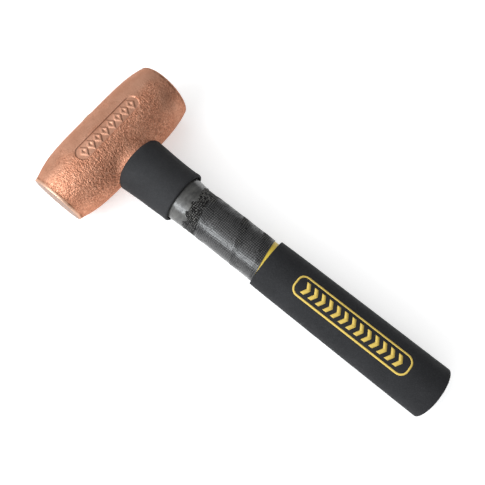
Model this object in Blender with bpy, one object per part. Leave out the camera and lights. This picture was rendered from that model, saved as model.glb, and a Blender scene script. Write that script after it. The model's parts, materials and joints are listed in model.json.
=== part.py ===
"""Soft-faced copper hammer with a fibreglass handle, lying on its side on the plane Z = 0.

Run with: blender --background --python part.py

Row frame: +X runs from the head to the butt, +Y along the head from one striking face to the other, +Z up.
The origin is under the middle of the object, on the surface that it lies on.

Each piece is drawn in the hammer's own frame, which the empty "hammer" carries: the head's centre is the
origin, +X is the handle's axis and +Y the head's. The handle is oval, so every turned handle piece is spun
round with its half-width as radius and is then flattened along Z.
"""

import math

import bmesh
import bpy

MM = 0.001

# Driving dimensions, in millimetres.
OVERALL_LENGTH = 317.5
HEAD_RADIUS = 26.5
HEAD_HALF_LENGTH = 58.9
RIM_RADIUS = 21.9
FACE_CHAMFER = 1.5
BARREL_POWER = 4.3
OVAL = 0.9
FIT_GAP = 0.3

CORE_HALF_WIDTH = 13.6
CORE_POLL_END = -23.6
EYE_WAIST = 15.0
EYE_MOUTH = 16.6
EYE_FLARE_LENGTH = 22.0
EPOXY_LEVEL = -21.8
SEAL_THICKNESS = 1.8
BOSS_FACE = 26.7
BOSS_HALF_WIDTH = 19.4

JACKET_HALF_WIDTH = 16.2
GUARD_END = 69.3
GUARD_RIM_RADIUS = 20.5
GUARD_FLARE = 1.6
GUARD_LIP = 1.6
NECK_END = 80.0
NECK_HALF_WIDTH = 17.5
NECK_TIP_HALF_WIDTH = 16.85
WRAP_HALF_WIDTH = 16.9
WRAP_END = 142.9
WRAP_TRIM_SLOPE = -0.14
GRIP_START = 145.3
GRIP_TOP_HALF_WIDTH = 18.8
GRIP_BUTT_HALF_WIDTH = 19.8
GRIP_DOME = 3.4
GRIP_FLOOR = 6.1

BADGE_LENGTH = 61.0
BADGE_WIDTH = 11.7
BADGE_DEPTH = 0.6
BADGE_OFFSET = 1.1

# Worked out from the driving dimensions.
BUTT_END = OVERALL_LENGTH - HEAD_RADIUS
DOME_START = BUTT_END - GRIP_DOME
CAVITY_END = BUTT_END - GRIP_FLOOR
ROD_END = CAVITY_END - FIT_GAP
HANDLE_TOP = BOSS_FACE + FIT_GAP
CORE_BORE = CORE_HALF_WIDTH + FIT_GAP
JACKET_BORE = JACKET_HALF_WIDTH + FIT_GAP

# Facets: round the head, round the handle pieces, and along each curved stretch of an outline.
HEAD_SIDES = 72
HANDLE_SIDES = 56
BARREL_STEPS = 22
ARC_STEPS = 4
DOME_STEPS = 8
SMOOTH_ANGLE = math.radians(32)

COLOURS = {
    "cast_copper": ((0.60, 0.29, 0.19), 0.45, 1.0),
    "black_rubber": ((0.030, 0.031, 0.033), 0.75, 0.0),
    "neck_resin": ((0.060, 0.062, 0.065), 0.40, 0.0),
    "woven_wrap": ((0.045, 0.047, 0.050), 0.50, 0.0),
    "yellow_jacket": ((0.75, 0.55, 0.08), 0.45, 0.0),
    "fibreglass": ((0.62, 0.58, 0.40), 0.55, 0.0),
    "epoxy": ((0.28, 0.22, 0.12), 0.30, 0.0),
    "seal_foam": ((0.16, 0.15, 0.14), 0.90, 0.0),
}


def clear_scene():
    for obj in list(bpy.data.objects):
        bpy.data.objects.remove(obj)


def material(name):
    colour, roughness, metallic = COLOURS[name]
    made = bpy.data.materials.new(name)
    made.use_nodes = True
    shader = made.node_tree.nodes["Principled BSDF"]
    shader.inputs["Base Color"].default_value = (*colour, 1.0)
    shader.inputs["Roughness"].default_value = roughness
    shader.inputs["Metallic"].default_value = metallic
    return made


def link(name, bm, parent, finish=None):
    """The mesh as an object on the hammer's empty. One with no finish is a cutter or another helper."""
    bmesh.ops.recalc_face_normals(bm, faces=bm.faces)
    bmesh.ops.scale(bm, vec=(MM, MM, MM), verts=bm.verts)
    mesh = bpy.data.meshes.new(name)
    bm.to_mesh(mesh)
    bm.free()
    obj = bpy.data.objects.new(name, mesh)
    bpy.context.scene.collection.objects.link(obj)
    obj.parent = parent
    if finish is None:
        obj.hide_render = True
        obj.display_type = "WIRE"
    else:
        mesh.materials.append(material(finish))
        mesh.shade_smooth()
        mesh.set_sharp_from_angle(angle=SMOOTH_ANGLE)
    return obj


def spun(points, axis, sides, closed):
    """A round body from an outline of (x, y) points in the plane Z = 0, spun about the X or the Y axis."""
    bm = bmesh.new()
    verts = [bm.verts.new((x, y, 0)) for x, y in points]
    pairs = list(zip(verts, verts[1:]))
    if closed:
        pairs.append((verts[-1], verts[0]))
    edges = [bm.edges.new(pair) for pair in pairs]
    bmesh.ops.spin(
        bm,
        geom=verts + edges,
        cent=(0, 0, 0),
        axis=axis,
        angle=math.tau,
        steps=sides,
        use_merge=True,
    )
    bmesh.ops.remove_doubles(bm, verts=bm.verts, dist=1e-4)
    return bm


def oval(points, closed=False):
    """A handle piece: an outline of (distance along the handle, half-width), spun and then flattened."""
    bm = spun(points, (1, 0, 0), HANDLE_SIDES, closed)
    bmesh.ops.scale(bm, vec=(1, 1, OVAL), verts=bm.verts)
    return bm


def tube(outer, bore):
    """An oval sleeve: its outer outline, from the head end to the butt end, and one bore right through."""
    start, end = outer[0][0], outer[-1][0]
    return oval([*outer, (end, bore), (start, bore)], closed=True)


def arc(centre, radii, start, end, steps):
    """Points on an ellipse's arc, both ends included, with angles in degrees from +X."""
    turns = [math.radians(start + (end - start) * i / steps) for i in range(steps + 1)]
    return [(centre[0] + radii[0] * math.cos(t), centre[1] + radii[1] * math.sin(t)) for t in turns]


def cut(obj, helper, operation="DIFFERENCE"):
    modifier = obj.modifiers.new(helper.name, "BOOLEAN")
    modifier.operation = operation
    modifier.object = helper
    modifier.solver = "EXACT"


def barrel_radius(y):
    """The casting's radius at this distance from its middle: nearly level, then falling to the rims."""
    rim = HEAD_HALF_LENGTH - FACE_CHAMFER
    return HEAD_RADIUS - (HEAD_RADIUS - RIM_RADIUS) * abs(y / rim) ** BARREL_POWER


def barrel(inset):
    """The barrel's outline, with a chamfer round each flat striking face, spun about the head's axis."""
    rim = HEAD_HALF_LENGTH - FACE_CHAMFER
    face = RIM_RADIUS - FACE_CHAMFER
    levels = [rim * (2 * i / BARREL_STEPS - 1) for i in range(BARREL_STEPS + 1)]
    side = [(barrel_radius(y) - inset, y) for y in levels]
    ends = [(0, HEAD_HALF_LENGTH), (face - inset, HEAD_HALF_LENGTH)]
    points = [(r, -y) for r, y in ends] + side + [(r, y) for r, y in reversed(ends)]
    return spun(points, (0, 1, 0), HEAD_SIDES, closed=False)


def stadium_prism(length, width, bottom, top):
    """An upright prism with half-round ends, long side along Y."""
    bm = bmesh.new()
    straight = (length - width) / 2
    ends = arc((0, straight), (width / 2, width / 2), 0, 180, 3 * ARC_STEPS)
    ends += arc((0, -straight), (width / 2, width / 2), 180, 360, 3 * ARC_STEPS)
    floor = bm.faces.new([bm.verts.new((x, y, bottom)) for x, y in ends])
    lifted = bmesh.ops.extrude_face_region(bm, geom=[floor])["geom"]
    rise = [v for v in lifted if isinstance(v, bmesh.types.BMVert)]
    bmesh.ops.translate(bm, vec=(0, 0, top - bottom), verts=rise)
    return bm


def add_head(hammer):
    """One copper casting: barrel, flat pad where the handle enters, eye right through, sunk panel on top."""
    head = link("head", barrel(inset=0), hammer, "cast_copper")
    pad = oval([(0, 0), (0, BOSS_HALF_WIDTH), (BOSS_FACE, BOSS_HALF_WIDTH), (BOSS_FACE, 0)])
    cut(head, link("pad_helper", pad, hammer), "UNION")
    beyond = 2 * HEAD_RADIUS
    eye = oval(
        [
            (-beyond, 0),
            (-beyond, EYE_MOUTH),
            (-HEAD_RADIUS, EYE_MOUTH),
            (EYE_FLARE_LENGTH - HEAD_RADIUS, EYE_WAIST),
            (beyond, EYE_WAIST),
            (beyond, 0),
        ]
    )
    cut(head, link("eye_cutter", eye, hammer))
    panel_bm = stadium_prism(BADGE_LENGTH, BADGE_WIDTH, HEAD_RADIUS / 2, beyond)
    bmesh.ops.translate(panel_bm, vec=(BADGE_OFFSET, 0, 0), verts=panel_bm.verts)
    panel = link("panel_cutter", panel_bm, hammer)
    cut(panel, link("panel_floor", barrel(inset=BADGE_DEPTH), hammer))
    cut(head, panel)


def add_core(hammer):
    """The fibreglass rod that carries the blow, from the poll to the butt, with eased end corners."""
    ease = 1.0
    points = [
        (CORE_POLL_END, 0),
        (CORE_POLL_END, CORE_HALF_WIDTH - ease),
        (CORE_POLL_END + ease, CORE_HALF_WIDTH),
        (ROD_END - ease, CORE_HALF_WIDTH),
        (ROD_END, CORE_HALF_WIDTH - ease),
        (ROD_END, 0),
    ]
    link("handle_core", oval(points), hammer, "fibreglass")


def add_eye_filling(hammer):
    """The cured epoxy that bonds the rod in the eye, and the foam ring that dammed it while it set."""
    seal_start = BOSS_FACE - SEAL_THICKNESS
    flare_end = EYE_FLARE_LENGTH - HEAD_RADIUS
    level = (flare_end - EPOXY_LEVEL) / EYE_FLARE_LENGTH
    epoxy = [
        (EPOXY_LEVEL, EYE_WAIST + (EYE_MOUTH - EYE_WAIST) * level - FIT_GAP),
        (flare_end, EYE_WAIST - FIT_GAP),
        (seal_start - FIT_GAP, EYE_WAIST - FIT_GAP),
    ]
    link("eye_epoxy", tube(epoxy, CORE_BORE), hammer, "epoxy")
    seal = [(seal_start, EYE_WAIST - FIT_GAP), (BOSS_FACE, EYE_WAIST - FIT_GAP)]
    link("eye_seal", tube(seal, CORE_BORE), hammer, "seal_foam")


def add_jacket(hammer):
    """The yellow jacket moulded over the rod, from the head to the butt."""
    outer = [(HANDLE_TOP, JACKET_HALF_WIDTH), (ROD_END, JACKET_HALF_WIDTH)]
    link("handle_jacket", tube(outer, CORE_BORE), hammer, "yellow_jacket")


def add_neck_band(hammer):
    """The smooth resin band under the guard, which thins where the woven wrap takes over."""
    outer = [
        (HANDLE_TOP, NECK_HALF_WIDTH),
        (GUARD_END, NECK_HALF_WIDTH),
        (NECK_END, NECK_TIP_HALF_WIDTH),
    ]
    link("neck_band", tube(outer, JACKET_BORE), hammer, "neck_resin")


def add_guard(hammer):
    """The overstrike guard: a rubber collar that flares towards the head and ends in a rounded lip."""
    length = GUARD_END - HANDLE_TOP
    steps = 8
    outer = []
    for i in range(steps + 1):
        share = i / steps
        x = HANDLE_TOP + GUARD_LIP + (length - 2 * GUARD_LIP) * share
        outer.append((x, GUARD_RIM_RADIUS + GUARD_FLARE * (1 - share) ** 2))
    (first_x, first_r), (last_x, last_r) = outer[0], outer[-1]
    lips = (GUARD_LIP, GUARD_LIP)
    top = arc((first_x, first_r - GUARD_LIP), lips, 180, 90, ARC_STEPS)
    rim = arc((last_x, last_r - GUARD_LIP), lips, 90, 0, ARC_STEPS)
    outline = [*top[:-1], *outer, *rim[1:]]
    link("overstrike_guard", tube(outline, NECK_HALF_WIDTH + FIT_GAP), hammer, "black_rubber")


def add_wrap(hammer):
    """The woven wrap between the neck band and the grip, trimmed obliquely at its butt end."""
    bm = tube([(NECK_END + FIT_GAP, WRAP_HALF_WIDTH), (WRAP_END, WRAP_HALF_WIDTH)], JACKET_BORE)
    for vert in bm.verts:
        if vert.co.x > WRAP_END - FIT_GAP:
            vert.co.x = min(WRAP_END + WRAP_TRIM_SLOPE * vert.co.y, GRIP_START - FIT_GAP)
    link("fabric_wrap", bm, hammer, "woven_wrap")


def grip_half_width(x):
    """The grip's half-width ahead of the dome: it widens quickly at first and then hardly at all."""
    share = (x - GRIP_START) / (DOME_START - GRIP_START)
    return GRIP_TOP_HALF_WIDTH + (GRIP_BUTT_HALF_WIDTH - GRIP_TOP_HALF_WIDTH) * math.sqrt(share)


def add_grip(hammer):
    """The black soft grip: an oval sleeve with a domed, closed butt."""
    edge = 0.6
    steps = 8
    levels = [GRIP_START + edge + (DOME_START - GRIP_START - edge) * i / steps for i in range(steps)]
    outline = [
        (CAVITY_END, 0),
        (CAVITY_END, JACKET_BORE),
        (GRIP_START, JACKET_BORE),
        (GRIP_START, GRIP_TOP_HALF_WIDTH - edge),
        *[(x, grip_half_width(x)) for x in levels],
        *arc((DOME_START, 0), (GRIP_DOME, GRIP_BUTT_HALF_WIDTH), 90, 0, DOME_STEPS),
    ]
    link("grip_sleeve", oval(outline), hammer, "black_rubber")


def rest_tilt():
    """How far the handle dips, in radians, when the head's belly and the grip's underside both touch."""
    low, high = 0.0, math.radians(10)
    while high - low > 1e-9:
        middle = (low + high) / 2
        dome = math.hypot(GRIP_DOME * math.sin(middle), GRIP_BUTT_HALF_WIDTH * OVAL * math.cos(middle))
        reach = DOME_START * math.sin(middle) + dome
        low, high = (middle, high) if reach < HEAD_RADIUS else (low, middle)
    return low


def place_hammer():
    """The empty that lays the hammer down: head and butt on Z = 0, and its middle over the origin."""
    tilt = rest_tilt()
    dome = math.hypot(GRIP_DOME * math.cos(tilt), GRIP_BUTT_HALF_WIDTH * OVAL * math.sin(tilt))
    reach = DOME_START * math.cos(tilt) + dome
    hammer = bpy.data.objects.new("hammer", None)
    bpy.context.scene.collection.objects.link(hammer)
    hammer.location = ((HEAD_RADIUS - reach) / 2 * MM, 0, HEAD_RADIUS * MM)
    hammer.rotation_euler = (0, tilt, 0)
    return hammer


def main():
    clear_scene()
    hammer = place_hammer()
    add_head(hammer)
    add_core(hammer)
    add_eye_filling(hammer)
    add_jacket(hammer)
    add_neck_band(hammer)
    add_guard(hammer)
    add_wrap(hammer)
    add_grip(hammer)


main()
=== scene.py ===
"""The looks of a soft-faced copper hammer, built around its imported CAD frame.

The shapes are worked out in the hammer's own frame, in millimetres. The head's centre is the
origin, +X is the handle's axis, +Y the head's, and +Z the side that faces up. The handle is oval,
so a handle piece is an outline of (distance along the handle, half-width) that is spun round and
flattened along Z.
"""

import json
import math

import bmesh
import bpy
import numpy as np
from mathutils import Matrix, Vector, noise


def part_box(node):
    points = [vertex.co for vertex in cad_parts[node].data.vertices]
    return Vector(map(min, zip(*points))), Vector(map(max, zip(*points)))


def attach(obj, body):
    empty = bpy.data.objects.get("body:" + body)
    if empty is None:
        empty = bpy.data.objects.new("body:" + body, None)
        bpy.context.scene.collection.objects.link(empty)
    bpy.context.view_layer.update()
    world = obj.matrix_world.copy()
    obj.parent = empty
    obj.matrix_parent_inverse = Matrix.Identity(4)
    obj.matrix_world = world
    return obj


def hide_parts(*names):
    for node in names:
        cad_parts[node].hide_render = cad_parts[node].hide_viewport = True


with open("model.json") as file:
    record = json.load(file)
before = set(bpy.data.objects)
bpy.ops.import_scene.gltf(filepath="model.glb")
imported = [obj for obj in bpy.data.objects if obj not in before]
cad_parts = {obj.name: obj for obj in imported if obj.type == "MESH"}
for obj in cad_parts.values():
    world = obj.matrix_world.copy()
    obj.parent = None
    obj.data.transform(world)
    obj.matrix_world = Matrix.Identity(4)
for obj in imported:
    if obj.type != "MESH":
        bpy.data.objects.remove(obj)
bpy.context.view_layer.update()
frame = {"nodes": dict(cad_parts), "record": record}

MM = 0.001

# The hammer's frame, from the two striking faces and the straight rod in the handle.
FACES = [Vector(m["pos_m"]) for m in frame["record"]["mounts"] if m["kind"] == "flat_face"]
HEAD_CENTRE = (FACES[0] + FACES[1]) / 2
ROD_MIDDLE = sum(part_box("handle_core"), Vector()) / 2
ROD_RUN = ROD_MIDDLE - HEAD_CENTRE
REST_TILT = math.atan2(-ROD_RUN.z, ROD_RUN.x)
HAMMER = Matrix.Translation(HEAD_CENTRE) @ Matrix.Rotation(REST_TILT, 4, "Y")


def span(node):
    """A CAD node's lowest and highest corners in the hammer's frame, in millimetres."""
    back = HAMMER.inverted()
    points = np.array([back @ v.co for v in frame["nodes"][node].data.vertices]) / MM
    return points.min(0), points.max(0)


HEAD_LOW, HEAD_HIGH = span("head")
GUARD_LOW, GUARD_HIGH = span("overstrike_guard")
BAND_HIGH = span("neck_band")[1]
WRAP_HIGH = span("fabric_wrap")[1]
GRIP_LOW, GRIP_HIGH = span("grip_sleeve")
JACKET_LOW, JACKET_HIGH = span("handle_jacket")
CORE_HIGH = span("handle_core")[1]
EPOXY_LOW, EPOXY_HIGH = span("eye_epoxy")

# How thick the handle is for its width.
OVAL = CORE_HIGH[2] / CORE_HIGH[1]

# Every length below is in millimetres. The first group is the casting's form.
HEAD_RADIUS = -HEAD_LOW[0]
FACE_LEVEL = HEAD_HIGH[1]
RIM_RADIUS = 21.0
BARREL_POWER = 4.36
BARREL_TAPER = 1.25
SKIN_INSET = 0.2
EDGE_BURR = 0.75
EDGE_BURR_LENGTH = 2.6
CORNER_LENGTH = 1.6
CORNER_DROP = 0.7
CORNER_STEPS = 8
WORN_CORNER_LENGTH = 2.6
WORN_CORNER_DROP = 3.2
FACE_RING_SHARES = (0.96, 0.88, 0.72, 0.5, 0.25)
PAD_LEVEL = HEAD_HIGH[0]
PAD_HALF_WIDTH = 19.2
PAD_FILLET = 5.0
PAD_CLEARANCE = 2
EYE_WAIST = 15.0
EYE_MOUTH = 16.6
EYE_FLARE = 22.0
EYE_SIDES = 96
HEAD_SPACING = 0.45

# The search for the casting's surface along a ray: how far inside the barrel it starts, in
# millimetres, how far out it ends, in head radii, its halvings, and the least cosine to the handle
# at which a ray can still meet the pad.
SEARCH_INSIDE = 1.0
SEARCH_OUTSIDE = 1.6
SEARCH_STEPS = 24
LEAST_COSINE = 0.2

# The sunk panel, and the row of open lozenges in it. A lozenge's line lies at MARK_RIDGE of the way
# out, and MARK_LEAN turns a distance along the head into one across the line.
PANEL_CENTRE = 1.1
PANEL_MIDDLE = 0.6
PANEL_WIDTH = 11.7
PANEL_LENGTH = 61.1
PANEL_DEPTH = 0.75
PANEL_WALL = 0.55
MARK_COUNT = 8
MARK_HEIGHT = 0.6
MARK_HALF_TALL = 4.2
MARK_HALF_WIDE = 3.05
MARK_STROKE = 0.85
MARK_GAP = 0.7
MARK_RIDGE = 0.72
MARK_LEAN = 0.77
MARK_FADE_IN, MARK_FADE_OUT = 0.3, 0.2

# The casting's skin. Sand runs from 0, smooth, to 1, coarse.
TURNED_FADE = 0.3
LEVEL_MARGIN = 0.05
TURNING_PITCH = 1.1
RIM_SCALE_PLACE = 2.2
RIM_SCALE_WIDTH = 0.7
GRAIN_SIZE = 1.05
GRAIN_HEIGHT = 0.28
PEBBLE_REACH = 0.8
PEBBLE_POWER = 1.5
LUMP_SIZE = 1.8
LUMP_HEIGHT = 0.12
PATCH_SIZE = 14.0
PATCH_SHARE = 0.35
LEAST_SAND, MOST_SAND = 0.15, 1.1
PANEL_SAND_LOSS = 0.8

# The room left between two pieces of the handle.
FIT_GAP = 0.3
SNUG_GAP = 0.1
RESIN_GAP = 0.12

# The rubber collar. Its skirt reaches down over the barrel's sides, and its lip end leans a little.
GUARD_RIM_RADIUS = 20.5
GUARD_LIP = 1.3
GUARD_LIP_SET = 0.3
GUARD_LIP_SET_LENGTH = 12
GUARD_ROLL = 0.25
GUARD_ROLL_PLACE = 2.0
GUARD_ROLL_LENGTH = 1.8
GUARD_UNDERCUT = 0.7
GUARD_UNDERCUT_START = 2.0
GUARD_UNDERCUT_END = 4.0
GUARD_SKIRT = 1.6
GUARD_SKIRT_BORE = 19.7
GUARD_SKIRT_STEP = 0.01
SKIRT_BLEND = (0.1, 0.75)
GUARD_SLANT = 0.02
GUARD_SLANT_START = 15
GUARD_WAVE = 0.07
GUARD_WAVE_SIZE = 9.0
GUARD_TOP_STEPS = 6
GUARD_LIP_STEPS = 8
GUARD_LIP_TURN = -20
GUARD_RINGS = 60
GUARD_SIDES = 200

# The resin band, whose tongues run out over the wrap, and the neck drawn in beside it at +Y.
BAND_UNDER_GUARD = 12
BAND_PROUD = 0.12
BAND_LEAD = 0.5
BAND_TONGUE = 3.0
BAND_TONGUE_SET = 0.6
TONGUE_SPREAD = 3
TONGUE_SEED = 4.0
BAND_SLANT = 0.10
BAND_WAVE = 0.07
BAND_WAVE_SIZE = 3.0
BAND_RINGS = 60
BAND_SIDES = 260
NECK_DIP = 1.0
NECK_DIP_PLACE = 83.5
NECK_DIP_LENGTH = 5.5
NECK_DIP_SIDE = 15

# The wrap. A tape edge is its place on the handle's axis and its slope.
WEAVE_PITCH = 1.45
WEAVE_HEIGHT = 0.28
WEAVE_DRIFT = 1.1
WEAVE_DRIFT_SIZE = 11.0
WEAVE_MIDDLE = 0.6
WET_FILL = 0.55
CLOUD_SIZE = 6.0
CLOUD_HEIGHT = 0.07
WRAP_SPACING = 0.34
WRAP_UNDER_BAND = 3
WRAP_MIDDLE_END = 143.45
WRAP_TRIM_SLOPE = -0.135
WRAP_TRIM_START = 20
WRAP_END_GAP = 0.05
WRAP_SINK = 0.15
TAPE_EDGES = ((90.5, -0.25), (118.9, -0.38), (137.0, -0.36))
TAPE_THICKNESS = 0.16
TAPE_STEP, TAPE_RUNOUT = (-0.3, 0.2), (1.0, 9.0)
TAPE_DRYNESS = 0.5
DRY_STEP, DRY_RUNOUT = (-1.0, 0.5), (2.0, 10.0)

JACKET_SPACING = 2.0
JACKET_SIDES = 160

# The grip and its print.
GRIP_DOME = 3.4
GRIP_DOME_STEPS = 24
GRIP_SET = 0.3
GRIP_EDGE = 0.4
GRIP_EDGE_STEPS = 5
GRIP_MOUTH_LENGTH = 1.0
GRIP_MOUTH_DEPTH = 0.5
GRIP_FLOOR = 6.1
GRIP_TOP_HALF_WIDTH = 18.8
GRIP_WAVE = 0.06
GRIP_WAVE_SIZE = 10.0
GRIP_RINGS = 150
GRIP_SIDES = 200

PRINT_START = 170.4
PRINT_END = 263.5
PRINT_HALF_WIDTH = 7.85
PRINT_CENTRE = -1.05
PRINT_CORNER = 5.9
PRINT_CORNER_STEPS = 10
PRINT_LINE = 1.3
PRINT_LIFT = 0.14
PRINT_THICKNESS = 0.2
PRINT_SPACING = 1.5
PRINT_WELD = 1e-4
CHEVRON_COUNT = 13
CHEVRON_MARGIN = 3.5
CHEVRON_START = 6.5
CHEVRON_STOP = 11.5
CHEVRON_POINT = 2.4
CHEVRON_STROKE = 3.0
CHEVRON_POINTS = 17

# The resin in the eye.
MENISCUS_DEPTH = 0.9
MENISCUS_CLIMB = 0.5
MENISCUS_POINTS = 13
EPOXY_SIDES = 160

# Edges sharper than this stay sharp.
SHARP_ANGLE = math.radians(40)

# Each light's direction, distance and size in metres, power in watts, target in the hammer's frame
# and colour.
LIGHTS = {
    "key": ((-0.22, -0.78, 0.59), 0.8, (0.80, 0.20), 4.6, (90, 0, 0), (0.93, 0.97, 1.0)),
    "near": ((0.05, -0.55, 0.83), 0.4, (0.22, 0.22), 0.28, (0, -40, 0), (0.95, 0.98, 1.0)),
    "top": ((-0.5, -0.1, 0.85), 1.3, (1.0, 1.0), 1.5, (90, 0, 0), (1, 1, 1)),
}
TENT_BRIGHT_SIDE = (-0.55, -0.75, 0.3)
TENT_DIM = 0.05
TENT_BRIGHT = 1.0
FLOOR_SIZE_M = 40
FLOOR_DROP_M = 0.0003

# The camera, fitted to the photo's outlines, with its target in the hammer's frame.
CAMERA_TARGET = (123.32, 1.18, 0.0)
CAMERA_AZIMUTH = -60.262
CAMERA_ELEVATION = 74.460
CAMERA_DISTANCE = 371.45
CAMERA_ROLL = 9.180
CAMERA_LENS = 38.343
CAMERA_SENSOR = 36


# ---------------------------------------------------------------- mesh helpers


def smoothstep(low, high, value):
    """0 up to low and 1 from high on, with a smooth rise between."""
    t = np.clip((value - low) / (high - low), 0, 1)
    return t * t * (3 - 2 * t)


def arc(centre, radii, start, end, steps):
    """Points on an ellipse's arc, both ends included, with angles in degrees."""
    turns = np.radians(np.linspace(start, end, steps + 1))
    return [(centre[0] + radii[0] * math.cos(t), centre[1] + radii[1] * math.sin(t)) for t in turns]


def link(name, data):
    """A new object in the scene, for a mesh, a light or a camera."""
    obj = bpy.data.objects.new(name, data)
    bpy.context.scene.collection.objects.link(obj)
    return obj


def add_piece(name, mesh, material):
    """A visible piece of the hammer, from a mesh in the hammer's frame."""
    mesh.materials.clear()
    mesh.materials.append(material)
    mesh.shade_smooth()
    mesh.set_sharp_from_angle(angle=SHARP_ANGLE)
    mesh.transform(HAMMER @ Matrix.Scale(MM, 4))
    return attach(link(name, mesh), "root")


def grid_mesh(name, rings, loop=False, caps=()):
    """A mesh of quads through rings of points, an array of shape (rings, points, 3) in millimetres.
    loop joins the last ring to the first, and caps are points that close the first and last rings.
    """
    count, sides = rings.shape[:2]
    verts = [tuple(p) for p in rings.reshape(-1, 3)]
    faces = []
    for i in range(count if loop else count - 1):
        a, b = i * sides, (i + 1) % count * sides
        for j in range(sides):
            k = (j + 1) % sides
            faces.append((a + j, a + k, b + k, b + j))
    for cap, ring in zip(caps, (0, (count - 1) * sides)):
        verts.append(tuple(cap))
        tip = len(verts) - 1
        for j in range(sides):
            k = (j + 1) % sides
            faces.append((ring + k, ring + j, tip) if ring == 0 else (ring + j, ring + k, tip))
    mesh = bpy.data.meshes.new(name)
    mesh.from_pydata(verts, [], faces)
    bm = bmesh.new()
    bm.from_mesh(mesh)
    bmesh.ops.recalc_face_normals(bm, faces=bm.faces)
    bm.to_mesh(mesh)
    bm.free()
    return mesh


def store(mesh, name, values):
    """Keeps one number for each vertex, which a material reads by its name."""
    layer = mesh.attributes.new(name, "FLOAT", "POINT")
    layer.data.foreach_set("value", np.asarray(values, np.float32))


def vertex_array(mesh):
    points = np.zeros(len(mesh.vertices) * 3)
    mesh.vertices.foreach_get("co", points)
    return points.reshape(-1, 3)


def normal_array(mesh):
    return np.array([v.normal for v in mesh.vertices])


def set_points(mesh, points):
    mesh.vertices.foreach_set("co", points.ravel())


def swell(mesh, rise):
    """Moves each vertex out along its normal by its own rise, in millimetres."""
    set_points(mesh, vertex_array(mesh) + normal_array(mesh) * rise[:, None])


def fractal(points, size, seed, octaves=2):
    """Smooth noise between about -1 and 1 with features of this size, for each point."""
    shift = Vector((seed * 17.3, seed * 5.1, seed * 9.7))
    return np.array([noise.fractal(Vector(p) / size + shift, 1.0, 2.0, octaves) for p in points])


def pebbles(points, size, seed):
    """Rounded grains of this size: 1 on a grain's crown and 0 in the clefts between grains."""
    shift = Vector((seed * 3.7, seed * 11.9, seed * 7.3))
    nearest = [noise.voronoi(Vector(p) / size + shift)[0][0] for p in points]
    return 1 - np.clip(np.array(nearest) / PEBBLE_REACH, 0, 1) ** PEBBLE_POWER


def oval_rings(section, sides):
    """The rings of an outline of (distance, half-width) that is spun round and flattened."""
    turns = np.linspace(0, math.tau, sides, endpoint=False)
    rings = [
        np.stack([np.full(sides, x), r * np.sin(turns), OVAL * r * np.cos(turns)], axis=1)
        for x, r in section
    ]
    return np.array(rings)


def resample(section, spacing):
    """The same open outline with a point at least every so many millimetres."""
    points = [section[0]]
    for (x0, r0), (x1, r1) in zip(section, section[1:]):
        parts = max(1, math.ceil(math.hypot(x1 - x0, r1 - r0) / spacing))
        for i in range(1, parts + 1):
            points.append((x0 + (x1 - x0) * i / parts, r0 + (r1 - r0) * i / parts))
    return points


# ---------------------------------------------------------------- materials

# A mix node's sockets for colours, by number because its sockets for numbers have the same names.
MIX_SHARE, MIX_COLOUR_A, MIX_COLOUR_B, MIX_RESULT = 0, 6, 7, 2

# Where most of a noise's values lie.
NOISE_LOW, NOISE_HIGH = 0.3, 0.7

# Linear colours. A pair is the two ends of a mottle.
SMOOTH_SKIN = ((0.55, 0.285, 0.188), (0.64, 0.350, 0.240))
SANDY_SKIN = ((0.66, 0.300, 0.185), (0.76, 0.370, 0.236))
# Painted shade for the sand's small pits.
PAINTED_PIT_SHADE = (0.34, 0.145, 0.085)
# Painted shade for the clefts between the grains, and a painted highlight for their crowns.
PAINTED_GRAIN_SHADE = (0.30, 0.135, 0.085)
PAINTED_GRAIN_HIGHLIGHT = (0.80, 0.50, 0.36)
PANEL_COPPER = (0.60, 0.33, 0.23)
RIM_SCALE = (0.26, 0.115, 0.06)
TURNED_COPPER = ((0.76, 0.49, 0.355), (0.64, 0.40, 0.295))
STRUCK_COPPER = (0.29, 0.185, 0.14)
GUARD_RUBBER = (0.0225, 0.023, 0.0245)
GRIP_RUBBER = (0.0160, 0.0165, 0.018)
RUBBER_DUST = (0.075, 0.075, 0.08)
THREAD = ((0.040, 0.040, 0.041), (0.082, 0.082, 0.083))
DRY_THREAD = (0.13, 0.128, 0.12)
# Painted glints of small resin beads on the cloth.
PAINTED_GLINT = (0.16, 0.155, 0.14)
CLOTH_GAP = (0.0, 0.0, 0.0)
CLOTH_RESIN = ((0.012, 0.012, 0.013), (0.050, 0.050, 0.051))
BAND_RESIN = ((0.018, 0.018, 0.017), (0.075, 0.074, 0.068))
YELLOW_PLASTIC = ((0.70, 0.49, 0.045), (0.80, 0.60, 0.085))
YELLOW_INK = ((0.70, 0.50, 0.10), (0.34, 0.24, 0.06))
GLASS_BUNDLES = ((0.66, 0.62, 0.42), (0.42, 0.38, 0.22))
GLASS_STAIN = (0.50, 0.44, 0.26)
AMBER_RESIN = ((0.20, 0.125, 0.040), (0.34, 0.24, 0.10))
SEAL_FOAM = ((0.10, 0.095, 0.09), (0.24, 0.23, 0.21))
FLOOR_WHITE = ((0.78, 0.78, 0.78), (0.81, 0.81, 0.81))
BUNDLES_PER_METRE = 900.0
CELLS_PER_METRE = 2200.0


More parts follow.
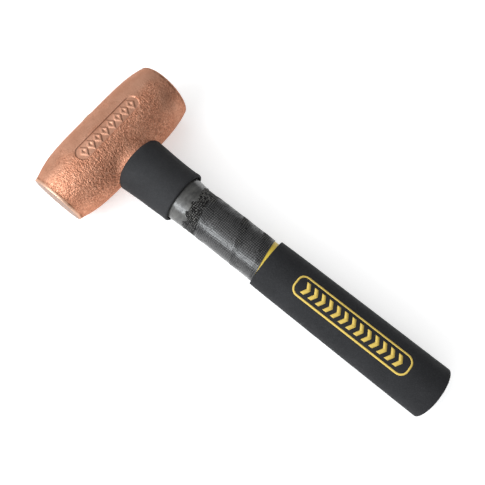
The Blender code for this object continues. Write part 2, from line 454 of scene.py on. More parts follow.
class Shader:
    """A material's node tree, with short calls that add a node and return its output."""

    def __init__(self, name, **values):
        self.material = bpy.data.materials.new(name)
        self.material.use_nodes = True
        self.tree = self.material.node_tree
        self.principled = self.tree.nodes["Principled BSDF"]
        for socket, value in values.items():
            self.set(socket.replace("_", " "), value)

    def set(self, socket, value):
        """Gives a socket of the surface shader a number, a colour or another node's output."""
        target = self.principled.inputs[socket]
        if isinstance(value, bpy.types.NodeSocket):
            self.tree.links.new(value, target)
        else:
            target.default_value = (*value, 1.0) if isinstance(value, tuple) else value

    def node(self, kind, inputs=None, output=0, **settings):
        """Adds a node with these inputs, each a value or another node's output."""
        made = self.tree.nodes.new(kind)
        for key, value in settings.items():
            setattr(made, key, value)
        for key, value in (inputs or {}).items():
            if isinstance(value, bpy.types.NodeSocket):
                self.tree.links.new(value, made.inputs[key])
            else:
                made.inputs[key].default_value = value
        return made.outputs[output]

    def place(self):
        return self.node("ShaderNodeTexCoord", output="Object")

    def attribute(self, name):
        return self.node("ShaderNodeAttribute", output="Fac", attribute_name=name)

    def noise(self, size_mm, detail=2.0, roughness=0.5, stretch=(1, 1, 1)):
        """Noise with features of about this size, which can be stretched along an axis."""
        scale = tuple(s / (size_mm * MM) for s in stretch)
        spread = self.node("ShaderNodeMapping", {"Vector": self.place(), "Scale": scale})
        inputs = {"Vector": spread, "Scale": 1.0, "Detail": detail, "Roughness": roughness}
        return self.node("ShaderNodeTexNoise", inputs)

    def cells(self, per_metre):
        """Rounded cells: 0 at each one's middle and more towards its walls."""
        inputs = {"Vector": self.place(), "Scale": per_metre}
        return self.node("ShaderNodeTexVoronoi", inputs, output="Distance")

    def math(self, operation, a, b=0.0):
        return self.node("ShaderNodeMath", {0: a, 1: b}, operation=operation)

    def times(self, a, b):
        return self.math("MULTIPLY", a, b)

    def remap(self, value, low, high, to_low=0.0, to_high=1.0):
        """Takes low to to_low and high to to_high, and stays at those outside."""
        inputs = {"Value": value, "From Min": low, "From Max": high}
        inputs.update({"To Min": to_low, "To Max": to_high})
        return self.node("ShaderNodeMapRange", inputs)

    def mix(self, share, a, b):
        """Colour a where share is 0 and colour b where it is 1."""
        a, b = [(*c, 1.0) if isinstance(c, tuple) else c for c in (a, b)]
        inputs = {MIX_SHARE: share, MIX_COLOUR_A: a, MIX_COLOUR_B: b}
        return self.node("ShaderNodeMix", inputs, output=MIX_RESULT, data_type="RGBA")

    def bump(self, height, depth_mm, strength=1.0, below=None):
        inputs = {"Height": height, "Distance": depth_mm * MM, "Strength": strength}
        if below is not None:
            inputs["Normal"] = below
        return self.node("ShaderNodeBump", inputs)

    def roughen(self, size_mm, detail, roughness, least, most):
        """Surface roughness that wanders between two values."""
        wander = self.noise(size_mm, detail, roughness)
        self.set("Roughness", self.remap(wander, NOISE_LOW, NOISE_HIGH, least, most))


def copper():
    """Sand-cast copper with a dull skin, paler where turned and darker where it has struck."""
    s = Shader("cast_copper", Specular_Tint=(0.75, 0.60, 0.55), Specular_IOR_Level=0.3)
    grain = s.attribute("grain")
    machined = s.attribute("machined")
    coarse = s.attribute("sand")
    blotch = s.remap(s.noise(13, 4, 0.6), 0.38, 0.64)
    skin = s.mix(s.remap(coarse, 0.4, 0.9), s.mix(blotch, *SMOOTH_SKIN), s.mix(blotch, *SANDY_SKIN))
    # Painted shade in the sand's small pits, placed by noise and stronger where the skin is
    # sandier.
    clefts = s.remap(s.noise(0.9, 2, 0.6), 0.60, 0.38)
    skin = s.mix(s.times(clefts, s.remap(coarse, 0.2, 1.0, 0.05, 0.6)), skin, PAINTED_PIT_SHADE)
    # Painted shade in the clefts between the grains of the relief.
    skin = s.mix(s.remap(grain, 0.45, 0.05, 0.0, 0.5), skin, PAINTED_GRAIN_SHADE)
    # A painted highlight on the grains' crowns.
    skin = s.mix(s.remap(grain, 0.55, 0.95, 0.0, 0.35), skin, PAINTED_GRAIN_HIGHLIGHT)
    skin = s.mix(s.times(s.attribute("panel"), 0.15), skin, PANEL_COPPER)
    flakes = s.remap(s.noise(4.5, 3, 0.6), 0.46, 0.60, 0.1, 0.9)
    skin = s.mix(s.times(s.attribute("rim"), flakes), skin, RIM_SCALE)
    turned = s.mix(s.noise(3.0, 2, 0.5), *TURNED_COPPER)
    turned = s.mix(s.attribute("struck"), turned, STRUCK_COPPER)
    s.set("Metallic", s.remap(s.attribute("struck"), 0, 1, 1.0, 0.25))
    s.set("Base Color", s.mix(machined, skin, turned))
    rough = s.remap(s.noise(5, 3, 0.6), NOISE_LOW, NOISE_HIGH, 0.44, 0.58)
    s.set("Roughness", s.remap(machined, 0, 1, rough, 0.47))
    cast = s.remap(machined, 0, 1, 1.0, 0.12)
    depth = s.times(cast, s.remap(coarse, 0.1, 1.0, 0.25, 1.0))
    turning = s.math("SINE", s.times(s.attribute("spread"), math.tau / TURNING_PITCH))
    turning = s.bump(turning, 0.03, s.times(machined, 0.8))
    fine = s.bump(s.noise(0.5, 2, 0.6), 0.08, depth, turning)
    s.set("Normal", s.bump(s.noise(0.85, 2, 0.55), 0.50, depth, fine))
    return s.material


def rubber(name, colour, lift):
    """Dull foam rubber with a fine closed-cell skin, a little paler where it is scuffed."""
    s = Shader(name, Metallic=0.0, Specular_IOR_Level=0.16)
    cloud = s.remap(s.noise(22, 3, 0.55), 0.35, 0.65)
    dust = s.remap(s.noise(0.7, 3, 0.7), 0.45, 0.75)
    body = s.mix(cloud, colour, tuple(c * lift for c in colour))
    s.set("Base Color", s.mix(s.times(dust, 0.22), body, RUBBER_DUST))
    s.roughen(2.5, 3, 0.6, 0.62, 0.78)
    pores = s.bump(s.noise(0.45, 2, 0.6), 0.03, 0.8)
    s.set("Normal", s.bump(s.noise(3.0, 2, 0.5), 0.06, 0.5, pores))
    return s.material


def wrap_cloth():
    """Dark woven cloth set in resin, smooth and glossy where the resin has filled the weave."""
    s = Shader("woven_wrap", Metallic=0.0, Coat_Roughness=0.23, Specular_IOR_Level=0.2)
    weave = s.attribute("weave")
    wet = s.attribute("wet")
    dry = s.remap(wet, 0.35, 0.0)
    thread = s.mix(s.noise(6, 3, 0.6), *THREAD)
    thread = s.mix(dry, thread, DRY_THREAD)
    cloth = s.mix(s.remap(weave, 0.5, 0.85), CLOTH_GAP, thread)
    worn = s.math("ADD", s.noise(1.5, 2, 0.7), s.times(s.attribute("bare"), 0.10))
    voids = s.remap(worn, 0.60, 0.64)
    cloth = s.mix(voids, cloth, CLOTH_GAP)
    # Sparse pale specks: painted glints of small resin beads.
    pale = s.remap(s.noise(1.3, 2, 0.6), 0.62, 0.72, 0.0, 0.5)
    cloth = s.mix(pale, cloth, PAINTED_GLINT)
    resin = s.mix(s.noise(2.2, 3, 0.6), *CLOTH_RESIN)
    s.set("Base Color", s.mix(s.times(wet, 0.25), cloth, resin))
    s.set("Roughness", s.remap(wet, 0, 1, 0.75, 0.45))
    s.set("Coat Weight", s.times(s.remap(wet, 0.15, 0.85), s.remap(voids, 0, 1, 1.0, 0.3)))
    fine = s.bump(s.noise(0.6, 2, 0.6), 0.03, 0.8)
    s.set("Normal", s.bump(s.noise(3.5, 3, 0.6), 0.10, 0.7, fine))
    return s.material


def band_resin():
    """Dark glossy resin, smeared along the handle."""
    s = Shader("neck_resin", Metallic=0.0, Coat_Weight=0.8, Coat_Roughness=0.2)
    smear = s.noise(4, 3, 0.65, stretch=(1.0, 0.35, 0.35))
    s.set("Base Color", s.mix(s.remap(smear, 0.35, 0.7), *BAND_RESIN))
    s.roughen(1.5, 3, 0.6, 0.38, 0.55)
    s.set("Normal", s.bump(s.noise(1.2, 3, 0.6), 0.10, 0.6))
    return s.material


def yellow_plastic():
    s = Shader("yellow_jacket", Metallic=0.0)
    s.set("Base Color", s.mix(s.noise(4, 3, 0.6), *YELLOW_PLASTIC))
    s.roughen(1.5, 3, 0.6, 0.38, 0.52)
    s.set("Normal", s.bump(s.noise(0.6, 2, 0.5), 0.02, 0.6))
    return s.material


def yellow_ink():
    """Screen-printed ink, a little thin where it lies over the grip's pores."""
    s = Shader("yellow_ink", Metallic=0.0)
    thin = s.remap(s.noise(0.8, 3, 0.7), 0.62, 0.80, 0.0, 0.5)
    s.set("Base Color", s.mix(thin, *YELLOW_INK))
    s.roughen(1.0, 2, 0.5, 0.50, 0.65)
    s.set("Normal", s.bump(s.noise(0.45, 2, 0.6), 0.03, 0.7))
    return s.material


def glass_fibre():
    """The sawn end of a pultruded rod: pale resin with the cut ends of the fibre bundles."""
    s = Shader("fibreglass", Metallic=0.0)
    bundles = s.cells(BUNDLES_PER_METRE)
    body = s.mix(s.remap(bundles, 0.1, 0.6), *GLASS_BUNDLES)
    s.set("Base Color", s.mix(s.remap(s.noise(6, 3, 0.6), 0.4, 0.7), body, GLASS_STAIN))
    s.roughen(1.0, 2, 0.5, 0.45, 0.65)
    s.set("Normal", s.bump(bundles, 0.08, 0.6))
    return s.material


def amber_resin():
    s = Shader("epoxy", Metallic=0.0, Coat_Weight=0.4, Coat_Roughness=0.12)
    s.set("Base Color", s.mix(s.noise(3, 3, 0.6), *AMBER_RESIN))
    s.roughen(2, 2, 0.5, 0.22, 0.4)
    s.set("Normal", s.bump(s.noise(1.8, 2, 0.5), 0.12, 0.5))
    return s.material


def seal_foam():
    s = Shader("seal_foam", Metallic=0.0)
    cells = s.cells(CELLS_PER_METRE)
    s.set("Base Color", s.mix(cells, *SEAL_FOAM))
    s.set("Roughness", s.remap(cells, 0, 1, 0.8, 0.95))
    s.set("Normal", s.bump(cells, 0.15, 0.8))
    return s.material


def floor_paint():
    """White paint that also glows a little, so that the floor is as white as the photo's."""
    s = Shader("studio_floor", Metallic=0.0, Specular_IOR_Level=0.1)
    s.set("Emission Color", (1, 1, 1))
    s.set("Emission Strength", 0.5)
    s.set("Base Color", s.mix(s.noise(160, 2, 0.5), *FLOOR_WHITE))
    s.set("Roughness", 0.9)
    return s.material


# ---------------------------------------------------------------- head


def barrel_radius(y):
    """The casting's radius: nearly level in the middle, lower at the rims and fuller at +Y."""
    share = y / FACE_LEVEL
    round_end = (HEAD_RADIUS - RIM_RADIUS) * np.abs(share) ** BARREL_POWER
    burr = EDGE_BURR * np.exp(-(((y + FACE_LEVEL) / EDGE_BURR_LENGTH) ** 2))
    return HEAD_RADIUS - SKIN_INSET - round_end + BARREL_TAPER * share**3 + burr


def head_end(side, length, drop):
    """Points (y, radius) from the barrel's rim over the corner to near a striking face's middle."""
    rim = FACE_LEVEL - length
    start = float(barrel_radius(side * rim))
    corner = arc((rim, start - drop), (length, drop), 90, 0, CORNER_STEPS)
    face = [(FACE_LEVEL, (start - drop) * share) for share in FACE_RING_SHARES]
    return [(side * y, r) for y, r in corner + face]


def head_profile():
    """Points (y, radius) from the middle of one striking face to the middle of the other."""
    near = head_end(-1, CORNER_LENGTH, CORNER_DROP)[::-1]
    far = head_end(1, WORN_CORNER_LENGTH, WORN_CORNER_DROP)
    first, last = near[-1][0], far[0][0]
    levels = np.linspace(first, last, round((last - first) / HEAD_SPACING) + 1)[1:-1]
    return near + [(y, float(barrel_radius(y))) for y in levels] + far


def pad_distance(x, y, z):
    """How far a point is outside the flat pad on the barrel's underside, in millimetres."""
    reach = np.hypot(y, z / OVAL)
    return np.maximum((reach - PAD_HALF_WIDTH) * OVAL, x - PAD_LEVEL)


def casting_radius(y, radius, turns):
    """The barrel's radius with the pad blended in, found along each ray from the head's axis."""
    low = np.full(turns.shape, radius - SEARCH_INSIDE)
    high = np.full(turns.shape, SEARCH_OUTSIDE * HEAD_RADIUS)
    cosine, sine = np.cos(turns), np.sin(turns)
    for _ in range(SEARCH_STEPS):
        r = (low + high) / 2
        x, z = r * cosine, r * sine
        barrel = r - radius
        pad = np.where(x > 0, pad_distance(x, y, z), HEAD_RADIUS)
        near = np.clip(0.5 + (pad - barrel) / (2 * PAD_FILLET), 0, 1)
        solid = pad + (barrel - pad) * near - PAD_FILLET * near * (1 - near)
        low, high = np.where(solid < 0, r, low), np.where(solid < 0, high, r)
    flat = PAD_LEVEL / np.maximum(cosine, LEAST_COSINE)
    return np.where(cosine > LEAST_COSINE, np.minimum(low, np.maximum(flat, radius)), low)


def eye_cutter():
    """The oval eye, tapered from its mouth at the poll."""
    section = [
        (-2 * HEAD_RADIUS, EYE_MOUTH),
        (-HEAD_RADIUS, EYE_MOUTH),
        (EYE_FLARE - HEAD_RADIUS, EYE_WAIST),
        (2 * HEAD_RADIUS, EYE_WAIST),
    ]
    ends = [(section[end][0], 0, 0) for end in (0, -1)]
    return link("eye_cutter", grid_mesh("eye_cutter", oval_rings(section, EYE_SIDES), caps=ends))


def with_eye(mesh):
    """The mesh with the eye cut through it."""
    body = link("casting", mesh)
    cutter = eye_cutter()
    cut = body.modifiers.new("eye", "BOOLEAN")
    cut.operation = "DIFFERENCE"
    cut.object = cutter
    cut.solver = "EXACT"
    bpy.context.view_layer.update()
    evaluated = body.evaluated_get(bpy.context.evaluated_depsgraph_get())
    result = bpy.data.meshes.new_from_object(evaluated)
    for obj in (body, cutter):
        bpy.data.objects.remove(obj)
    return result


def panel_share(x, y):
    """1 on the sunk panel's floor and 0 outside it, with a sloped wall between."""
    straight = (PANEL_LENGTH - PANEL_WIDTH) / 2
    past = np.maximum(np.abs(y - PANEL_MIDDLE) - straight, 0)
    outside = np.hypot(x - PANEL_CENTRE, past) - PANEL_WIDTH / 2
    return 1 - smoothstep(-PANEL_WALL, 0, outside)


def mark_share(x, y):
    """1 on the raised marks in the panel, a plain row of open lozenges, and 0 between them."""
    pitch = 2 * MARK_HALF_WIDE + MARK_GAP
    first = -(MARK_COUNT - 1) / 2
    y = y - PANEL_MIDDLE
    place = np.clip(np.round(y / pitch - first), 0, MARK_COUNT - 1) + first
    across = np.abs(y - place * pitch) / MARK_HALF_WIDE
    along = np.abs(x - PANEL_CENTRE) / MARK_HALF_TALL
    ridge = np.abs(across + along - MARK_RIDGE) * MARK_HALF_WIDE * MARK_LEAN
    return 1 - smoothstep(MARK_STROKE - MARK_FADE_IN, MARK_STROKE + MARK_FADE_OUT, ridge)


def sculpt_casting(mesh):
    """Sinks the panel, raises its marks and gives the skin its sand grain, but not in the eye."""
    points = vertex_array(mesh)
    x, y, z = points.T
    in_eye = np.hypot(y, z / OVAL) < EYE_MOUTH + LEVEL_MARGIN
    struck = np.abs(y) > FACE_LEVEL - LEVEL_MARGIN
    edge = -FACE_LEVEL + CORNER_LENGTH
    machined = np.maximum(1 - smoothstep(edge - TURNED_FADE, edge + TURNED_FADE, y), struck)
    skin = (1 - machined) * ~in_eye
    panel = panel_share(x, y) * (z > 0)
    marks = mark_share(x, y) * panel
    grain = pebbles(points, GRAIN_SIZE, seed=1)
    lumps = fractal(points, LUMP_SIZE, seed=2)
    patches = fractal(points, PATCH_SIZE, seed=3)
    # Sandier towards the handle, and smoother again near the +Y end.
    coarse = 0.35 + 0.65 * smoothstep(-10, 6, x) - 0.35 * smoothstep(32, 50, y)
    coarse = np.clip(coarse + PATCH_SHARE * patches, LEAST_SAND, MOST_SAND)
    coarse = coarse * (1 - PANEL_SAND_LOSS * panel)
    rise = GRAIN_HEIGHT * coarse * (grain - 0.5) + LUMP_HEIGHT * coarse * lumps
    rise += MARK_HEIGHT * marks - PANEL_DEPTH * panel
    swell(mesh, skin * rise)
    store(mesh, "grain", np.clip(0.5 + coarse * (grain - 0.5 + 0.5 * lumps), 0, 1))
    store(mesh, "machined", machined)
    store(mesh, "struck", struck)
    store(mesh, "spread", np.hypot(x, z))
    store(mesh, "sand", coarse)
    from_rim = (np.abs(y) - FACE_LEVEL + RIM_SCALE_PLACE) / RIM_SCALE_WIDTH
    store(mesh, "rim", np.exp(-(from_rim**2)))
    store(mesh, "panel", panel)


def make_head():
    """The copper casting: a barrel with a flat pad for the collar and an eye right through."""
    sides = round(math.tau * HEAD_RADIUS / HEAD_SPACING)
    turns = np.linspace(0, math.tau, sides, endpoint=False)
    pad_end = FACE_LEVEL - CORNER_LENGTH - PAD_CLEARANCE
    rings = []
    for y, radius in head_profile():
        r = casting_radius(y, radius, turns) if abs(y) < pad_end else np.full(sides, radius)
        rings.append(np.stack([r * np.cos(turns), np.full(sides, y), r * np.sin(turns)], axis=1))
    middles = ((0, -FACE_LEVEL, 0), (0, FACE_LEVEL, 0))
    mesh = with_eye(grid_mesh("head_casting", np.array(rings), caps=middles))
    sculpt_casting(mesh)
    head = add_piece("head_casting", mesh, copper())
    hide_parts("head")


# ---------------------------------------------------------------- handle


def neck_dip(points):
    """How far the neck draws in, in millimetres, where the band ends: most on the +Y side."""
    x, y = points[:, 0], points[:, 1]
    along = np.exp(-(((x - NECK_DIP_PLACE) / NECK_DIP_LENGTH) ** 2))
    return NECK_DIP * along * smoothstep(0, NECK_DIP_SIDE, y)


def make_guard():
    """The collar: flared and rounded at the head, with a rolled lip and an undercut at its end."""
    start, end = GUARD_LOW[0], GUARD_HIGH[0]
    flare = GUARD_HIGH[1] - GUARD_RIM_RADIUS
    bore = BAND_HIGH[1] + FIT_GAP
    side = []
    for x in np.linspace(start + GUARD_LIP, end - GUARD_LIP, GUARD_RINGS):
        share = 1 - (x - start) / (end - start)
        roll = GUARD_ROLL * math.exp(-(((end - GUARD_ROLL_PLACE - x) / GUARD_ROLL_LENGTH) ** 2))
        side.append((x, GUARD_RIM_RADIUS + flare * share**2 + roll))
    round_lip = (GUARD_LIP, GUARD_LIP)
    top = arc((side[0][0], side[0][1] - GUARD_LIP), round_lip, 180, 90, GUARD_TOP_STEPS)
    low_lip = (side[-1][0], side[-1][1] - GUARD_LIP)
    rolled = arc(low_lip, round_lip, 90, GUARD_LIP_TURN, GUARD_LIP_STEPS)
    undercut = [(end - GUARD_UNDERCUT_START, bore + GUARD_UNDERCUT)]
    undercut.append((end - GUARD_UNDERCUT_END, bore))
    seat = [(start, bore), (start, GUARD_SKIRT_BORE)]
    skirt = [(start - GUARD_SKIRT_STEP, GUARD_SKIRT_BORE), *top[:-1]]
    rings = oval_rings([*seat, *skirt, *side, *rolled[1:], *undercut], GUARD_SIDES)
    for ring in rings[len(seat) : len(seat) + len(skirt)]:
        ring[:, 0] -= GUARD_SKIRT * smoothstep(*SKIRT_BLEND, np.abs(ring[:, 2]) / GUARD_HIGH[2])
    mesh = grid_mesh("guard_collar", rings, loop=True)
    points = vertex_array(mesh)
    slant = smoothstep(start + GUARD_SLANT_START, end, points[:, 0]) * GUARD_SLANT
    points[:, 0] -= slant * points[:, 1]
    points[:, 1] += smoothstep(end - GUARD_LIP_SET_LENGTH, end, points[:, 0]) * GUARD_LIP_SET
    waves = GUARD_WAVE * fractal(points, GUARD_WAVE_SIZE, seed=5)
    points += normal_array(mesh) * waves[:, None]
    set_points(mesh, points)
    guard = add_piece("guard_collar", mesh, rubber("black_rubber_guard", GUARD_RUBBER, 1.25))
    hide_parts("overstrike_guard")


def make_band():
    """The resin band. Its edge runs out over the wrap in uneven tongues."""
    start, end = GUARD_HIGH[0] - BAND_UNDER_GUARD, BAND_HIGH[0]
    wide, slim = BAND_HIGH[1], WRAP_HIGH[1]
    bore = JACKET_HIGH[1] + SNUG_GAP
    outer = []
    for x in np.linspace(start, end, BAND_RINGS):
        taper = smoothstep(GUARD_HIGH[0], end, x)
        outer.append((x, wide - (wide - slim - BAND_PROUD) * taper))
    section = [*outer, (end + BAND_LEAD, slim - SNUG_GAP), (end, bore), (start, bore)]
    rings = oval_rings(section, BAND_SIDES)
    tongues = []
    for turn in np.linspace(0, math.tau, BAND_SIDES, endpoint=False):
        x, y = TONGUE_SPREAD * math.cos(turn), TONGUE_SPREAD * math.sin(turn)
        tongues.append(noise.fractal(Vector((x, y, TONGUE_SEED)), 1.0, 2.0, 4))
    for ring in rings:
        share = smoothstep(GUARD_HIGH[0] + 2, end, ring[:, 0])
        reach = BAND_TONGUE_SET + BAND_TONGUE * np.array(tongues) - BAND_SLANT * ring[:, 1]
        ring[:, 0] += share * reach
    mesh = grid_mesh("neck_resin_band", rings, loop=True)
    points = vertex_array(mesh)
    waves = BAND_WAVE * fractal(points, BAND_WAVE_SIZE, seed=8, octaves=3)
    swell(mesh, waves - neck_dip(points))
    band = add_piece("neck_resin_band", mesh, band_resin())
    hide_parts("neck_band")


def tape_step(x, y):
    """How far the wrap stands proud just past each tape edge, and how dry the cloth is there."""
    rise, dry = np.zeros(len(x)), np.zeros(len(x))
    for edge, slope in TAPE_EDGES:
        past = x - edge - slope * y
        rise += TAPE_THICKNESS * smoothstep(*TAPE_STEP, past) * (1 - smoothstep(*TAPE_RUNOUT, past))
        dry += TAPE_DRYNESS * smoothstep(*DRY_STEP, past) * (1 - smoothstep(*DRY_RUNOUT, past))
    return rise, dry


def make_wrap():
    """The woven wrap: threads in relief, tape edges, a dry patch by the band, resin elsewhere."""
    start, end = BAND_HIGH[0] - WRAP_UNDER_BAND, WRAP_MIDDLE_END
    radius = WRAP_HIGH[1]
    bore = JACKET_HIGH[1] + SNUG_GAP
    most_trim = GRIP_LOW[0] + GRIP_SET - WRAP_END_GAP - end
    section = [(x, radius) for x in np.linspace(start, end, round((end - start) / WRAP_SPACING))]
    section += [(end, bore), (start, bore)]
    rings = oval_rings(section, round(math.tau * radius / WRAP_SPACING))
    for ring in rings:
        trim = np.minimum(WRAP_TRIM_SLOPE * ring[:, 1], most_trim)
        ring[:, 0] += smoothstep(start + WRAP_TRIM_START, end, ring[:, 0]) * trim
    mesh = grid_mesh("wrap_cloth", rings, loop=True)
    points = vertex_array(mesh)
    x, y, z = points.T
    outer = np.hypot(y, z / OVAL) > radius - LEVEL_MARGIN
    clouds = fractal(points, CLOUD_SIZE, seed=11, octaves=3)
    drift = WEAVE_DRIFT * fractal(points, WEAVE_DRIFT_SIZE, seed=12)
    around = np.arctan2(y, z / OVAL) * radius
    warp = np.cos(math.pi * (x + drift) / WEAVE_PITCH)
    weft = np.cos(math.pi * (around + drift) / WEAVE_PITCH)
    weave = np.sqrt(np.abs(warp * weft))
    step, dry = tape_step(x, y)
    edge, slope = TAPE_EDGES[0]
    bare = 1 - smoothstep(-2.0, 0.5, x - edge - slope * y)
    # The resin has pooled on the -Y side and run off the +Y side.
    pooled = 0.25 * (1 - smoothstep(-10, -4, y)) - 0.3 * smoothstep(3, 13, y)
    wet = np.clip(0.85 + pooled - 0.9 * bare - dry + 0.35 * clouds, 0, 1)
    threads = WEAVE_HEIGHT * (weave - WEAVE_MIDDLE) * (1 - WET_FILL * wet)
    rise = threads + CLOUD_HEIGHT * clouds + step - WRAP_SINK - neck_dip(points)
    swell(mesh, rise * outer)
    store(mesh, "weave", weave)
    store(mesh, "wet", wet)
    store(mesh, "bare", bare)
    wrap = add_piece("wrap_cloth", mesh, wrap_cloth())
    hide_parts("fabric_wrap")


def make_jacket():
    """The yellow jacket, which shows as a wedge between the slanted wrap and the grip."""
    start, end = JACKET_LOW[0], JACKET_HIGH[0]
    outer, bore = JACKET_HIGH[1], CORE_HIGH[1] + FIT_GAP
    side = resample([(start, outer), (end, outer)], JACKET_SPACING)
    rings = oval_rings([*side, (end, bore), (start, bore)], JACKET_SIDES)
    mesh = grid_mesh("yellow_jacket", rings, loop=True)
    swell(mesh, -neck_dip(vertex_array(mesh)))
    jacket = add_piece("yellow_jacket", mesh, yellow_plastic())
    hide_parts("handle_jacket")


def grip_half_width(x):
    """The grip's half-width ahead of its dome."""
    dome_start = GRIP_HIGH[0] - GRIP_DOME
    share = np.clip((x - GRIP_LOW[0]) / (dome_start - GRIP_LOW[0]), 0, 1)
    return GRIP_TOP_HALF_WIDTH + (GRIP_HIGH[1] - GRIP_TOP_HALF_WIDTH) * np.sqrt(share)


def make_grip():
    """The soft grip, with a rounded top edge, a hollow for the handle and a closed, domed butt."""
    start, end = GRIP_LOW[0] + GRIP_SET, GRIP_HIGH[0]
    dome_start = end - GRIP_DOME
    bore = JACKET_HIGH[1] + FIT_GAP
    levels = np.linspace(start + GRIP_EDGE, dome_start, GRIP_RINGS)
    side = [(x, float(grip_half_width(x))) for x in levels]
    edge_centre = (start + GRIP_EDGE, side[0][1] - GRIP_EDGE)
    lip = arc(edge_centre, (GRIP_EDGE, GRIP_EDGE), 180, 90, GRIP_EDGE_STEPS)
    dome = arc((dome_start, 0), (GRIP_DOME, GRIP_HIGH[1]), 90, 0, GRIP_DOME_STEPS)[1:-1]
    inner = end - GRIP_FLOOR
    mouth = [(start + GRIP_MOUTH_LENGTH, bore), (start, bore + GRIP_MOUTH_DEPTH)]
    rings = oval_rings([(inner, bore), *mouth, *lip[:-1], *side, *dome], GRIP_SIDES)
    mesh = grid_mesh("soft_grip", rings, caps=((inner, 0, 0), (end, 0, 0)))
    swell(mesh, GRIP_WAVE * fractal(vertex_array(mesh), GRIP_WAVE_SIZE, seed=21))
    grip = add_piece("soft_grip", mesh, rubber("black_rubber_grip", GRIP_RUBBER, 1.3))
    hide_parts("grip_sleeve")


def on_grip(x, y, lift):
    """The point on the grip's upper side above (x, y), raised by lift millimetres."""
    r = float(grip_half_width(x))
    z = OVAL * math.sqrt(r * r - y * y)
    out = Vector((0, y / r**2, z / (OVAL * r) ** 2)).normalized() * lift
    return Vector((x, y, z)) + out


def print_strip(bm, left, right):
    """A printed stroke between two rows of (x, y) points, laid on the grip."""
    rows = [[bm.verts.new(on_grip(x, y, PRINT_LIFT)) for x, y in row] for row in (left, right)]
    for i in range(len(left) - 1):
        bm.faces.new((rows[0][i], rows[0][i + 1], rows[1][i + 1], rows[1][i]))


def frame_outline(inset):
    """The print's frame, a rectangle with round corners, as a closed row of (x, y) points."""
    radius = PRINT_CORNER - inset
    x0, x1 = PRINT_START + PRINT_CORNER, PRINT_END - PRINT_CORNER
    low = PRINT_CENTRE - PRINT_HALF_WIDTH + PRINT_CORNER
    high = PRINT_CENTRE + PRINT_HALF_WIDTH - PRINT_CORNER
    points = []
    for (x, y), turn in (((x1, high), 0), ((x0, high), 90), ((x0, low), 180), ((x1, low), 270)):
        points += arc((x, y), (radius, radius), turn, turn + 90, PRINT_CORNER_STEPS)
    return points + points[:1]


def make_print():
    """The print on the grip: a round-cornered frame and a row of chevrons, with no lettering."""
    bm = bmesh.new()
    outer, inner = frame_outline(0), frame_outline(PRINT_LINE)
    for i in range(len(outer) - 1):
        print_strip(bm, *(resample(edge[i : i + 2], PRINT_SPACING) for edge in (outer, inner)))
    half_tall = PRINT_HALF_WIDTH - CHEVRON_MARGIN
    first, last = PRINT_START + CHEVRON_START, PRINT_END - CHEVRON_STOP
    ys = np.linspace(-half_tall, half_tall, CHEVRON_POINTS)
    for i in range(CHEVRON_COUNT):
        arms = first + (last - first) * i / (CHEVRON_COUNT - 1)
        rear = [(arms + CHEVRON_POINT * (1 - abs(y) / half_tall), PRINT_CENTRE + y) for y in ys]
        front = [(x + CHEVRON_STROKE, y) for x, y in rear]
        print_strip(bm, rear, front)
    bmesh.ops.remove_doubles(bm, verts=bm.verts, dist=PRINT_WELD)
    bmesh.ops.recalc_face_normals(bm, faces=bm.faces)
    mesh = bpy.data.meshes.new("grip_print")
    bm.to_mesh(mesh)
    bm.free()
    piece = add_piece("grip_print", mesh, yellow_ink())
    thick = piece.modifiers.new("ink", "SOLIDIFY")
    thick.thickness = PRINT_THICKNESS * MM
    thick.offset = -1


def make_epoxy():
    """The resin in the eye, with a meniscus that climbs the rod and the casting."""
    level, end = EPOXY_LOW[0], EPOXY_HIGH[0]
    core = CORE_HIGH[1] + RESIN_GAP
    flare_end = EYE_FLARE - HEAD_RADIUS
    taper = (EYE_MOUTH - EYE_WAIST) / EYE_FLARE
    wall = EYE_WAIST + taper * (flare_end - level) - RESIN_GAP
    waist = EYE_WAIST - RESIN_GAP
    section = []
    for share in np.linspace(0, 1, MENISCUS_POINTS):
        sag = MENISCUS_DEPTH * (1 - (2 * share - 1) ** 2)
        section.append((level + sag - MENISCUS_CLIMB, core + (wall - core) * share))
    section += [(flare_end, waist), (end, waist), (end, core)]
    mesh = grid_mesh("eye_resin", oval_rings(section, EPOXY_SIDES), loop=True)
    resin = add_piece("eye_resin", mesh, amber_resin())
    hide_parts("eye_epoxy")


def finish_cad_nodes():
    """The CAD pieces that keep their shape get their own materials."""
    for node, material in (("handle_core", glass_fibre()), ("eye_seal", seal_foam())):
        slots = frame["nodes"][node].data.materials
        slots.clear()
        slots.append(material)


# ---------------------------------------------------------------- studio


def add_area(name, direction, distance, size, power, target, colour):
    """A soft light, this far from the target, in a direction given in the hammer's frame."""
    light = bpy.data.lights.new(name, "AREA")
    light.shape = "RECTANGLE"
    light.size, light.size_y = size
    light.energy = power
    light.color = colour
    obj = link(name, light)
    aim = Vector(direction).normalized()
    obj.location = HAMMER @ (Vector(target) * MM) + aim * distance
    obj.rotation_euler = aim.to_track_quat("Z", "Y").to_euler()


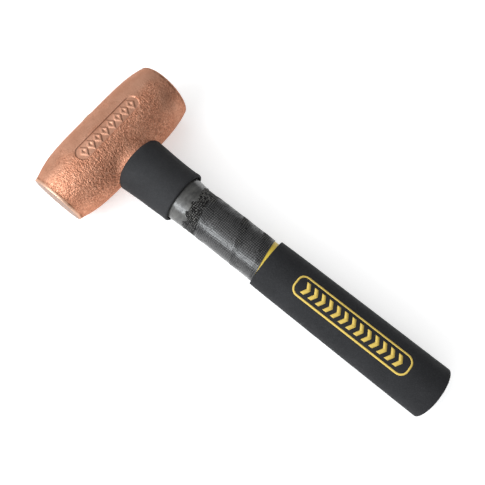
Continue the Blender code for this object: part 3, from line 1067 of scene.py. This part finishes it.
def tent_world():
    """A pale tent round the object, brightest on the side that the key light is on."""
    world = bpy.data.worlds.new("studio")
    bpy.context.scene.world = world
    world.use_nodes = True
    tree = world.node_tree
    place = tree.nodes.new("ShaderNodeTexCoord")
    facing = tree.nodes.new("ShaderNodeVectorMath")
    facing.operation = "DOT_PRODUCT"
    facing.inputs[1].default_value = Vector(TENT_BRIGHT_SIDE).normalized()
    level = tree.nodes.new("ShaderNodeMapRange")
    limits = {"From Min": -1, "From Max": 1, "To Min": TENT_DIM, "To Max": TENT_BRIGHT}
    for socket, value in limits.items():
        level.inputs[socket].default_value = value
    tree.links.new(place.outputs["Generated"], facing.inputs[0])
    tree.links.new(facing.outputs["Value"], level.inputs["Value"])
    tree.links.new(level.outputs["Result"], tree.nodes["Background"].inputs["Strength"])
    tree.nodes["Background"].inputs["Color"].default_value = (1, 1, 1, 1)


def make_studio():
    """A white floor, the tent and three soft lights."""
    bpy.ops.mesh.primitive_plane_add(size=FLOOR_SIZE_M, location=(0, 0, -FLOOR_DROP_M))
    floor = bpy.context.active_object
    floor.name = "floor"
    floor.data.materials.append(floor_paint())
    tent_world()
    for name, settings in LIGHTS.items():
        add_area(name, *settings)
    bpy.context.scene.view_settings.view_transform = "Standard"


def make_camera():
    """The photo's camera, close above the hammer."""
    azimuth, elevation = math.radians(CAMERA_AZIMUTH), math.radians(CAMERA_ELEVATION)
    level = math.cos(elevation)
    back = Vector((level * math.cos(azimuth), level * math.sin(azimuth), math.sin(elevation)))
    at = (Vector(CAMERA_TARGET) + back * CAMERA_DISTANCE) * MM
    turn = back.to_track_quat("Z", "Y").to_matrix().to_4x4()
    roll = Matrix.Rotation(math.radians(CAMERA_ROLL), 4, "Z")
    data = bpy.data.cameras.new("camera")
    data.sensor_width = CAMERA_SENSOR
    data.lens = CAMERA_LENS
    camera = link("camera", data)
    camera.matrix_world = HAMMER @ Matrix.Translation(at) @ turn @ roll
    bpy.context.scene.camera = camera


make_head()
make_guard()
make_band()
make_wrap()
make_jacket()
make_grip()
make_print()
make_epoxy()
finish_cad_nodes()
make_studio()
make_camera()
